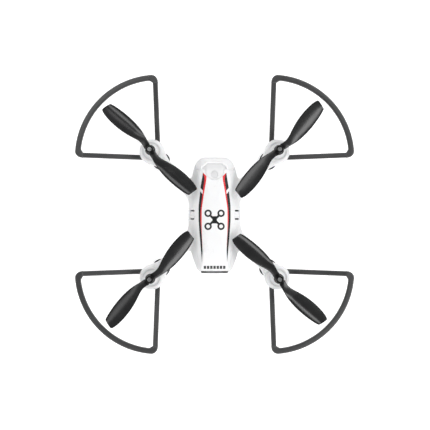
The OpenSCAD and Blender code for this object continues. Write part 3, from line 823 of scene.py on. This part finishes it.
def end_cap_highlight_finish(name):
    """Black moulding with a painted highlight: its middle is a paler grey."""
    m = Maker(name)
    patchy = m.noise(420.0, 4.0, 0.6)
    dark = m.blend(patchy, (0.010, 0.011, 0.012), (0.016, 0.017, 0.018))
    pale = m.blend(patchy, (0.13, 0.133, 0.138), (0.17, 0.173, 0.178))
    aside = m.math("ABSOLUTE", m.along("X"))
    # Painted highlight: paler grey across the middle, black towards the ends.
    m.colour(m.mix(m.span(aside, 7 * MM, 13 * MM, 0.0, 1.0), pale, dark))
    m.rough(m.span(patchy, 0.25, 0.75, 0.3, 0.46))
    m.grain(m.noise(1700.0, 2.0, 0.6), 0.00003)
    return m.mat


WHITE = (0.85, 0.852, 0.858)
# Slots whose material has the slot's own name. Plastics: colour, roughness and its spread, the grain's
# scale and depth, mottle and wear. Metals: colour, roughness and the stretch of the scratches.
PLASTICS = {
    "leg_black": ((0.02, 0.021, 0.023), 0.42, 0.08, 1500, 0.00003, 0.15, 0.5),
    "pad_rubber": ((0.028, 0.028, 0.029), 0.72, 0.1, 1300, 0.00005, 0.2, 0.4),
    "gear_nylon": ((0.72, 0.69, 0.58), 0.42, 0.08, 1800, 0.00001, 0.05, 0.0, None, 0.5, 0.1),
    "chip_black": ((0.018, 0.018, 0.02), 0.5, 0.08, 3200, 0.00001, 0.1),
    "connector_ivory": ((0.75, 0.71, 0.6), 0.4, 0.06, 1800, 0.00001, 0.04),
    "switch_grey": ((0.09, 0.09, 0.1), 0.4, 0.06, 2000, 0.00001, 0.1),
    "wire_black": ((0.02, 0.02, 0.02), 0.42, 0.08, 1600, 0.00001, 0.1),
    "tray_grey": ((0.05, 0.052, 0.056), 0.46, 0.08, 1500, 0.00003, 0.12, 0.5),
    "camera_black": ((0.022, 0.022, 0.024), 0.36, 0.08, 1800, 0.00002, 0.15, 0.5),
    "battery_wrap": ((0.045, 0.055, 0.075), 0.3, 0.1, 140, 0.00025, 0.18),
}
METALS = {
    "steel": ((0.5, 0.505, 0.51), 0.3),
    "can_steel": ((0.56, 0.57, 0.58), 0.32, (1, 1, 12)),
    "bronze": ((0.62, 0.42, 0.18), 0.34),
    "gold": ((0.83, 0.6, 0.22), 0.24),
    "lens_ring": ((0.2, 0.21, 0.22), 0.3, (1, 12, 1)),
}
MATERIALS = {
    **{name: moulded(name, *values) for name, values in PLASTICS.items()},
    **{name: metal(name, *values) for name, values in METALS.items()},
    "shell_white": moulded("white_shell", WHITE, 0.3, 0.06, 2400, 0.000012, 0.012, 0.5, (0.9, 0.9, 0.9),
                           subsurface=0.04),
    "guard_black": moulded("black_guard", (0.021, 0.0213, 0.022), 0.36, 0.06, 1700, 0.00003, 0.15, 0.5,
                           (0.09, 0.09, 0.095), specular=0.8),
    "blade_black": blade_finish("black_blade"),
    "button_grey": moulded("grey_button", (0.68, 0.682, 0.69), 0.32, 0.06, 2200, 0.00001, 0.03),
    "board_green": board("board_green"),
    "wire": moulded("wire_red", (0.35, 0.02, 0.02), 0.4, 0.08, 1600, 0.00001, 0.1),
    "end_cap_black": end_cap_highlight_finish("end_cap_black"),
    "lens_clear": clear("lens_clear", (0.86, 0.9, 0.93)),
    "lens_red": clear("lens_red", (0.62, 0.02, 0.02)),
    "lens_glass": clear("lens_glass", (0.06, 0.075, 0.12), 0.05, 1.6),
    "trim_black": ink("ink_black", (0.008, 0.010, 0.011), (0.50, 0.51, 0.52), -44, -56),
    "trim_red": ink("ink_red", (0.80, 0.02, 0.028), (0.80, 0.50, 0.51), -6, -42),
}


def dress(obj, slot_name, body, *stands_for):
    """Gives a new piece the finish of its slot and its body, and hides the CAD nodes that it stands for."""
    obj.data.materials.clear()
    obj.data.materials.append(MATERIALS[slot_name])
    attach(obj, body)
    if stands_for:
        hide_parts(*stands_for)
    return obj


def dress_net(name, field, lo, hi, h, slot_name, body, *stands_for):
    points, faces = net(field, lo, hi, h)
    return dress(make(name, points, faces), slot_name, body, *stands_for)


# ---- shells and covers
COARSE, FINE = ((0.7, 0.5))
SHELLS = [("shell_top", upper_shell, (-86, -86, 25.5), (86, 86, 47.5), COARSE, "upper_shell"),
          ("shell_bottom", lower_shell, (-86, -86, 13), (86, 86, 26.5), COARSE, "lower_shell"),
          ("nose_hood", nose_cap, (-25, 36, 29.5), (25, 65.5, 46), FINE, "nose_cap"),
          ("canopy_cover", canopy_panel, (-19.5, -57, 38.5), (19.5, 47.5, 47), FINE, "canopy_panel")]
for name, field, low, high, step, node in SHELLS:
    dress_net(name, field, low, high, step, "shell_white", "airframe", node)
inlay = dress_net("nose_inlay", nose_inlay, (-15.5, 37, 36.5), (15.5, 58.5, 45), FINE, "shell_white",
                  "airframe")
# The inlay's colour is painted shade in the hood's recess.
inlay.data.materials[0] = inlay_painted_shade_finish("inlay_painted_shade")
for side, sign in (("left", -1), ("right", 1)):
    low, high = sorted((sign * 22, sign * 30))
    dress_net(f"latch_{side}_cover", latch_tab, (low, -6, 30), (high, 5, 37), 0.35, "shell_white",
              f"latch_{side}", f"latch_tab_{side}")
    low, high = sorted((sign * 16, sign * 28))
    # Painted shade in the slots: the left backing is light grey, the right one black.
    dress_net(f"latch_{side}_backing", latch_shade_backing, (low, -8, 27.5), (high, 7, 30.5), 0.6,
              "button_grey" if side == "left" else "chip_black", "airframe")


# ---- printed trim
def canopy_height(x, y):
    """Height of the canopy's surface above a plan position."""
    low, high = np.full(np.shape(x), 34.0), np.full(np.shape(x), 50.0)
    for _ in range(26):
        mid = (low + high) / 2
        inside = hull(x, y, mid) < 0
        low, high = np.where(inside, mid, low), np.where(inside, high, mid)
    return (low + high) / 2


def decal(rows, proud=0.09, sink=0.35):
    """A thin closed sheet that follows the canopy, from rows of plan points."""
    rows = np.array(rows, float)
    n, m = rows.shape[:2]
    z = canopy_height(rows[..., 0], rows[..., 1])
    top = np.dstack([rows, z + proud]).reshape(-1, 3)
    bottom = np.dstack([rows, z - sink]).reshape(-1, 3)
    faces = []
    for i in range(n - 1):
        for j in range(m - 1):
            a, b, c, d = i * m + j, i * m + j + 1, (i + 1) * m + j + 1, (i + 1) * m + j
            faces += [[a, b, c, d], [k + n * m for k in (d, c, b, a)]]
    grid = np.arange(n * m).reshape(n, m)
    rim = np.concatenate([grid[0], grid[1:, -1], grid[-1, -2::-1], grid[-2:0:-1, 0]]).tolist()
    for a, b in zip(rim, rim[1:] + rim[:1]):
        faces.append([b, a, a + n * m, b + n * m])
    return np.concatenate([top, bottom]), faces


def upright(part):
    """The same part with its faces turned so that the first one looks up."""
    points, faces = part
    a, b, c = (np.array(points[k]) for k in faces[0][:3])
    if np.cross(b - a, c - b)[2] < 0:
        faces = [f[::-1] for f in faces]
    return points, faces


def along_y(curve):
    """x as a smooth function of y for a list of plan points."""
    curve = sorted(curve, key=lambda p: p[1])
    ys, xs = np.array([p[1] for p in curve]), np.array([p[0] for p in curve])
    fine = np.linspace(ys[0] - 6, ys[-1] + 6, 400)
    raw = np.interp(fine, ys, xs)
    step = fine[1] - fine[0]
    k = np.exp(-0.5 * (np.arange(-12, 13) * step / 1.6) ** 2)
    smooth = np.convolve(np.pad(raw, 12, mode="edge"), k / k.sum(), "valid")
    return lambda y: np.interp(y, fine, smooth)


stripe_outer = along_y([(13.0, 45.1), (15.5, 30.6), (17.8, 9.8), (17.8, -6.7), (16.9, -20), (15.2, -40),
                        (14.1, -53)])
stripe_mid = along_y([(13.9, -53), (13.4, -39.7), (14.3, -24), (15.7, -6.7), (15.6, 4), (12.8, 28),
                      (11.2, 38.5), (11.5, 42), (12.7, 45), (13.4, 48)])
stripe_inner = along_y([(8.9, 42.2), (9.1, 38.5), (11.2, 27), (14.3, 6), (14.4, -8), (14, -24), (13.4, -34)])


def stripe(inner, outer_edge, y_low, y_high, sign, across=5, step=0.8):
    """One stripe between two edge curves; y_low and y_high are functions of x."""
    count = 2 + int((y_high(12.0) - y_low(12.0)) / step)
    rows = []
    for v in np.linspace(0, 1, count):
        row = []
        for u in np.linspace(0, 1, across):
            x = 13.0
            for _ in range(12):
                y = y_low(x) + (y_high(x) - y_low(x)) * v
                x = inner(y) + (outer_edge(y) - inner(y)) * u
            row.append((sign * x, y))
        rows.append(row)
    return upright(decal(rows))


def rule(y, slope=0.0, x0=12.0):
    return lambda x: y + slope * (x - x0)


blacks, reds = [], []
for sign in (-1, 1):
    front = rule(42.3, 1.05, 8.85)
    blacks.append(stripe(stripe_mid, lambda y: stripe_outer(y) + 0.15, rule(25.4, 1.1), front, sign))
    blacks.append(stripe(stripe_mid, stripe_outer, rule(-53), rule(20.9, 1.2), sign))
    reds.append(stripe(stripe_inner, lambda y: stripe_mid(y) + 0.02, rule(-38), front, sign))
dress(make("stripe_print_black", *join(blacks)), "trim_black", "airframe", "stripes_black")
dress(make("stripe_print_red", *join(reds)), "trim_red", "airframe", "stripes_red")


def patch(cx, cy, w, d, angle, nx, ny):
    a = radians(angle)
    return upright(decal([[(cx + u * cos(a) - v * sin(a), cy + u * sin(a) + v * cos(a))
                           for u in np.linspace(-w / 2, w / 2, nx)] for v in np.linspace(-d / 2, d / 2, ny)]))


def ring_decal(cx, cy, r0, r1, proud, n=56):
    """A flat ring that follows the canopy."""
    a = np.linspace(0, 2 * pi, n, endpoint=False)
    points, faces = [], []
    loops = [(r0, -0.35), (r0, proud), ((r0 + r1) / 2, proud), (r1, proud), (r1, -0.35)]
    for r, lift in loops:
        x, y = cx + r * np.cos(a), cy + r * np.sin(a)
        points += list(zip(x, y, canopy_height(x, y) + lift))
    for i in range(len(loops)):
        for k in range(n):
            j, m = (i + 1) % len(loops), (k + 1) % n
            faces.append([i * n + k, j * n + k, j * n + m, i * n + m])
    return np.array(points), faces


ICON_Y = -6.0
icon = [ring_decal(sx * 7.2, sy * 7.2 + ICON_Y, 2.1, 4.1, 0.12) for sx in (-1, 1) for sy in (-1, 1)]
for quarter in range(4):
    a = radians(45 + 90 * quarter)
    icon.append(patch(4.6 * cos(a), 4.6 * sin(a) + ICON_Y, 5.0, 2.4, 45 + 90 * quarter, 8, 4))
icon.append(patch(0, ICON_Y, 5.0, 8.0, 0, 6, 8))
icon += [patch(k * 3.6, -59.2, 2.7, 3.5, 0, 6, 8) for k in range(-3, 4)]
dress(make("canopy_pictogram", *join(icon)), "trim_black", "airframe", "canopy_icon")

# ---- guards and legs
guard_points, guard_faces = net(guard, (62, 62, 17), (157, 157, 43.2), 0.65)
leg_points, leg_faces = net(leg, (-11, -11, 2.6), (11, 11, 21.4), 0.42)
pad_profile = softened([(0, 0.35), (1.6, 0.35), (2.0, 0.0), (3.2, 0.0), (3.5, 0.4), (3.9, 0.4), (4.2, 0.0),
                        (5.5, 0.0), (6.4, 0.9), (6.4, 2.98), (0, 2.98)], 0.3, 3)
pad_points, pad_faces = lathe(pad_profile, 72)
legs, pads = [], []
for i, corner in enumerate(CORNERS):
    ring = make(f"guard_ring_{corner}", turned(guard_points, 90 * i), guard_faces)
    dress(ring, "guard_black", "airframe", f"guard_{corner}")
    x, y = corner_point(i, GEAR_DIST)
    legs.append((shifted(turned(leg_points, 225 + 90 * i), x, y), leg_faces))
    pads.append((shifted(pad_points, x, y), pad_faces))
dress(make("leg_set", *join(legs)), "leg_black", "airframe", "legs")
dress(make("foot_pad_set", *join(pads)), "pad_rubber", "airframe", "foot_pads")

# ---- propellers
BLADE_LOW = [(5, -4.6), (17, -6.1), (24, -15.5), (66.4, -7.3), (66.4, -5)]
BLADE_HIGH = [(5, 3.4), (23.6, -3.4), (16.3, 11.7), (68.2, 11.2), (68.2, 5)]
ROOT_PITCH, TIP_PITCH = 12.0, 6.5
# How much of the droop a blade has across its chord, from the clockwise edge on.
DROOP_AT, DROOP = [0, 0.06, 0.14, 0.32, 0.55, 0.75, 1], [1.9, 1.55, 1.15, 0.66, 0.22, 0.05, 0]


def bezier(points, t):
    points = [np.array(p, float) for p in points]
    while len(points) > 1:
        points = [a * (1 - t) + b * t for a, b in zip(points, points[1:])]
    return points[0]


def ease(v, a, b):
    t = min(max((v - a) / (b - a), 0), 1)
    return t * t * (3 - 2 * t)


def blade(turn, n_along=64, n_across=22):
    """A closed blade along +X: a drooped edge on the clockwise side, a flatter back and a rounded tip."""
    stations = [(-0.09, 0.72), (-0.05, 0.78), (-0.02, 0.9)]
    stations += [(k / n_along * 0.955, 1.0) for k in range(n_along + 1)]
    stations += [(0.967, 0.992), (0.978, 0.972), (0.987, 0.94), (0.994, 0.895), (0.999, 0.83)]
    rings = []
    for t, shrink in stations:
        a, b = bezier(BLADE_LOW, max(t, 0)), bezier(BLADE_HIGH, max(t, 0))
        mid, chord = (a + b) / 2, (b - a) * shrink
        if t < 0:
            mid = mid + np.array([t * 40, -mid[1] * min(1, -t * 8)])
        width, cone = np.linalg.norm(chord), BLADE_CONE * max(t, 0)
        pitch = ROOT_PITCH + (TIP_PITCH - ROOT_PITCH) * max(t, 0) ** 0.55
        lean = turn * tan(radians(pitch)) * (0.55 + 0.45 * ease(t, 0, 0.1))
        droop = 0.43 * ease(t, 0.12, 0.4) + lean * (1 - ease(t, 0.12, 0.4))
        thick = 3.2 - 1.5 * ease(t, 0.0, 0.16) - 0.8 * max(t, 0)
        thick *= 1 if t < 0.955 else 0.5 + 0.5 * shrink ** 2
        c = (1 - np.cos(np.linspace(0, pi, n_across))) / 2
        slope = lean + (droop - lean) * np.interp(c, DROOP_AT, DROOP)
        rise = np.concatenate([[0], np.cumsum((slope[1:] + slope[:-1]) / 2 * np.diff(c))]) * width
        rise -= np.interp(0.5, c, rise) + 0.12 * width * droop
        body_t = thick / 2 * np.clip(4 * c * (1 - c), 0, 1) ** 0.42 * (1.12 - 0.35 * c) + 0.09
        plan = mid + np.outer(c - 0.5, chord)
        upper = np.column_stack([plan, BLADE_Z + cone + rise + body_t * 0.55])
        lower = np.column_stack([plan, BLADE_Z + cone + rise - body_t * 0.75])
        rings.append(np.concatenate([upper, lower[::-1]]))
    points, m = np.concatenate(rings), 2 * n_across
    faces = []
    for i in range(len(rings) - 1):
        for k in range(m):
            faces.append([i * m + k, (i + 1) * m + k, (i + 1) * m + (k + 1) % m, i * m + (k + 1) % m])
    faces.append(list(range(m)))
    faces.append([len(points) - 1 - k for k in range(m)])
    return points, faces


def solid(name, part):
    """An object with its faces made to look outwards."""
    obj = make(name, *part)
    bm = bmesh.new()
    bm.from_mesh(obj.data)
    bmesh.ops.recalc_face_normals(bm, faces=bm.faces)
    bm.to_mesh(obj.data)
    bm.free()
    return obj


def bake(obj):
    """Bakes an object's modifiers into its mesh."""
    bpy.context.view_layer.update()
    graph = bpy.context.evaluated_depsgraph_get()
    mesh = bpy.data.meshes.new_from_object(obj.evaluated_get(graph))
    obj.modifiers.clear()
    old, obj.data = obj.data, mesh
    bpy.data.meshes.remove(old)


HUB = softened([(0, 39.5), (5.1, 39.5), (5.6, 40.0), (5.6, 43.5), (4.9, 44.8), (4.35, 45.4),
                (4.15, HUB_TOP - 0.5), (3.7, HUB_TOP), (2.75, HUB_TOP), (2.5, HUB_TOP - 0.3),
                (2.5, HUB_TOP - 1.62), (0, HUB_TOP - 1.62)], 0.35, 3)


def propeller_mesh(turn):
    """Hub and two blades in one closed mesh about the propeller's axis."""
    knurl = lambda a, r, z: -0.16 * max(cos(a * 18), 0) ** 2 if r > 5.3 and z < 43.2 else 0.0
    hub = solid("hub", lathe(HUB, 108, knurl))
    points, faces = blade(turn)
    for k in (0, 1):
        wing = solid(f"wing{k}", (turned(points, 180 * k), faces))
        m = hub.modifiers.new("union", "BOOLEAN")
        m.operation, m.solver, m.object = "UNION", "EXACT", wing
        bake(hub)
        bpy.data.objects.remove(wing)
    mesh = hub.data
    bpy.data.objects.remove(hub)
    for polygon in mesh.polygons:
        polygon.use_smooth = True
    return mesh


propellers = {turn: propeller_mesh(turn) for turn in (1, -1)}
for i, corner in enumerate(CORNERS):
    turn, rest = (1, 47.0) if i % 2 == 0 else (-1, 45.2)
    mesh = propellers[turn].copy()
    x, y = corner_point(i)
    place = Matrix.Translation(Vector((x * MM, y * MM, 0)))
    mesh.transform(place @ Matrix.Rotation(radians(rest + 90 * i), 4, "Z"))
    prop = add_object(f"prop_{corner}", mesh)
    dress(prop, "blade_black", f"rotor_{corner}", f"propeller_{corner}")
for mesh in propellers.values():
    bpy.data.meshes.remove(mesh)

# ---- camera, battery and button
dress_net("camera_drum", camera_housing, (-9.3, 43, 8), (9.3, 59.2, 22), 0.4,
          "camera_black", "camera", "camera_housing")
dress_net("battery_block", battery_pack, (-14.6, -59.3, 17), (14.6, -0.2, 34.2), 0.8,
          "battery_wrap", "battery", "battery_pack")
dress_net("battery_cap", battery_end_cap, (-15.7, -67.4, 16.8), (15.7, -58.8, 34.9), 0.45,
          "end_cap_black", "battery", "battery_end_cap")
ring_profile = softened([(3.45, 9.05), (5.0, 9.05), (5.2, 9.3), (5.2, 10.3), (4.6, 10.78), (4.1, 10.5),
                         (3.45, 10.1)], 0.2, 3)


def to_front(part):
    """A part made about +Z, laid along +Y on the camera's axis."""
    points, faces = part
    p = np.asarray(points, float)
    return np.stack([p[:, 0], TILT_Y + p[:, 2], TILT_Z - p[:, 1]], 1), faces


knurled = lambda a, r, z: -0.14 * max(cos(a * 40), 0) if r > 5.1 else 0.0
bezel = solid("lens_bezel", to_front(lathe(ring_profile, 160, knurled, True)))
dress(bezel, "lens_ring", "camera", "camera_lens_ring")
glass = softened([(0, 5.05), (3.38, 5.05), (3.38, 8.7), (2.9, 9.35), (2.0, 9.75), (1.0, 9.93),
                  (0, 9.98)], 0.5, 4)
dress(solid("lens_dome", to_front(lathe(glass, 72))), "lens_glass", "camera", "camera_lens_glass")
button = softened([(0, 41.0), (1.5, 41.0), (1.5, 41.25), (BUTTON_R, 41.25), (BUTTON_R, 42.78),
                   (BUTTON_R - 0.15, 42.9), (1.5, 42.95), (0, 42.96)], 0.1, 3)
button_points, button_faces = lathe(button, 72)
low_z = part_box("power_button")[0].z / MM
stem_points, stem_faces = lathe([(0, low_z), (1.4, low_z), (1.5, low_z + 0.1), (1.5, 41.4), (0, 41.4)], 40)
cap = join([(shifted(button_points, 0, BUTTON_Y), button_faces),
            (shifted(stem_points, 0, BUTTON_Y), stem_faces)])
dress(solid("button_cap", cap), "button_grey", "power_button", "power_button")

# ---- finishes of the CAD nodes that stay
KEPT = dict(guard_screws="steel", shell_screws="steel", motors="can_steel", shaft_bushings="bronze",
            led_boards="board_green", led_lenses_front="lens_clear", led_lenses_rear="lens_red",
            main_board="board_green", board_chips="chip_black", board_connectors="connector_ivory",
            power_switch="switch_grey", motor_wires="wire", battery_tray="tray_grey",
            battery_contacts="gold", camera_bracket="camera_black", antenna_wire="wire_black",
            camera_pins="steel", battery_terminals="gold")
for corner in CORNERS:
    KEPT.update({f"rotor_screw_{corner}": "steel", f"rotor_shaft_{corner}": "steel",
                 f"rotor_gear_{corner}": "gear_nylon", f"pinion_{corner}": "bronze"})
for name, slot_name in KEPT.items():
    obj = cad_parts[name]
    obj.data.materials.clear()
    obj.data.materials.append(MATERIALS[slot_name])

# ---- floor, light and camera
FLOOR_HALF, FLOOR_Z = 4000.0, -0.05
corners = [(sx * FLOOR_HALF, sy * FLOOR_HALF, FLOOR_Z) for sx, sy in ((-1, -1), (1, -1), (1, 1), (-1, 1))]
floor = make("floor", corners, [[0, 1, 2, 3]])
fm = Maker("pale_floor")
fm.colour(fm.blend(fm.noise(3.0), (0.93, 0.93, 0.93), (0.96, 0.96, 0.96)))
fm.put("Roughness", 0.9)
fm.put("Emission Color", (1, 1, 1, 1))
fm.put("Emission Strength", 0.4)
back = fm.node("ShaderNodeNewGeometry").outputs["Backfacing"]
see_through = fm.node("ShaderNodeBsdfTransparent").outputs[0]
one_sided = fm.node("ShaderNodeMixShader", {0: back, 1: fm.bsdf.outputs[0], 2: see_through})
fm.feed(fm.out.inputs["Surface"], one_sided.outputs[0])
floor.data.materials.append(fm.mat)

world = bpy.data.worlds.new("studio")
world.use_nodes = True
sky = world.node_tree.nodes["Background"].inputs
sky["Color"].default_value = (1, 1, 1, 1)
sky["Strength"].default_value = 0.13
bpy.context.scene.world = world


def softbox(name, azimuth, polar, radiance, size, distance=1.3):
    """A square soft light that looks at the object. Azimuth is from +X towards +Y, polar from straight up."""
    light = bpy.data.lights.new(name, "AREA")
    light.shape, light.size = "SQUARE", size
    light.energy = radiance * 4 * size * size
    obj = add_object(name, light)
    a, p = radians(azimuth), radians(polar)
    direction = Vector((cos(a) * sin(p), sin(a) * sin(p), cos(p)))
    obj.location = direction * distance
    obj.rotation_mode = "QUATERNION"
    obj.rotation_quaternion = direction.to_track_quat("Z", "Y")


# Radiance of the lights in a ring, from the tail's side on towards +X.
LIGHTS = [2.5, 2.75, 2.7, 2.35, 1.9, 1.8, 1.0, 1.65]
RING_POLAR, RING_SIZE = 46, 0.62
for k, radiance in enumerate(LIGHTS):
    softbox(f"softbox_{k}", -90 + 360 / len(LIGHTS) * k, RING_POLAR, radiance, RING_SIZE)
softbox("overhead", 135, 25, 1.4, 0.34)

camera = bpy.data.cameras.new("camera")
camera.sensor_width, camera.lens = 36.0, 41.0
camera.clip_start, camera.clip_end = 0.05, 20.0
eye = add_object("eye", camera)
eye.location = (0.00046, -0.00068, 0.588)
bpy.context.scene.camera = eye
bpy.context.scene.view_settings.view_transform = "Standard"
